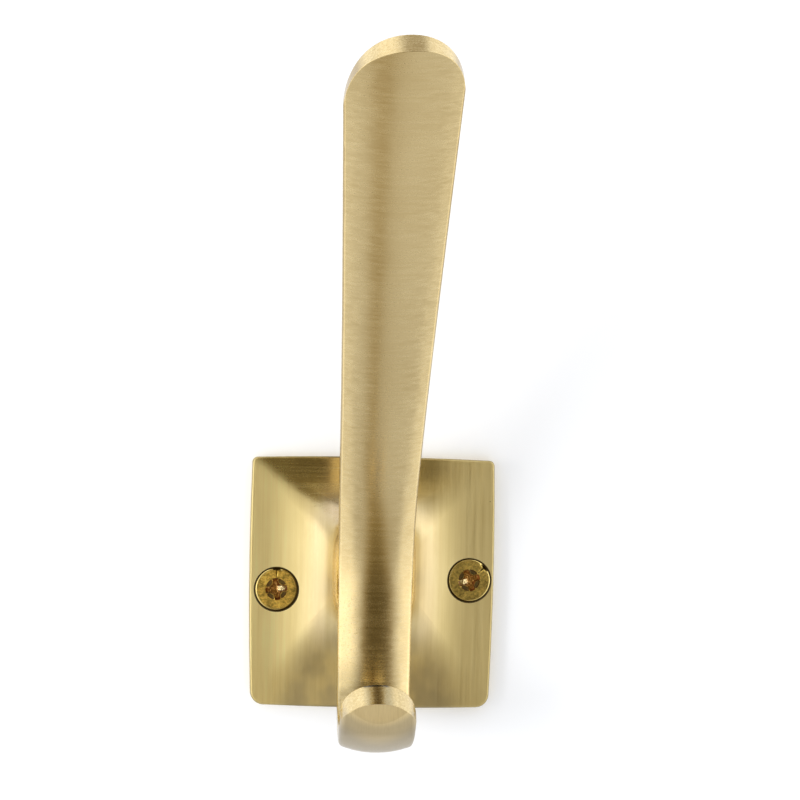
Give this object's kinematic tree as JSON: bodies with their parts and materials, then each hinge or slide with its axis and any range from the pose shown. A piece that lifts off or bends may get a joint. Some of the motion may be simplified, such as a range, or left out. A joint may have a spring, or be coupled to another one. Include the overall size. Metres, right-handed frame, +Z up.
{
  "type": "wall hook",
  "caption": "Solid brass coat and hat hook with a square hollow-flanked base, a leaning round-ended upper blade and a short upturned lower hook, fixed by countersunk screws.",
  "frame": {"origin": "middle of the base's back face, on the wall", "axes": "+Y into the wall, +Z up, +X to the right as seen from the front; the hook stands out towards -Y"},
  "size_m": [0.0444, 0.0956, 0.1224],
  "materials": {
    "satin_brass": "brushed satin",
    "screw_brass": "plain turned"
  },
  "bodies": {
    "root": {"hook_body": "satin_brass", "wood_screws": "screw_brass"}
  },
  "joints": []
}
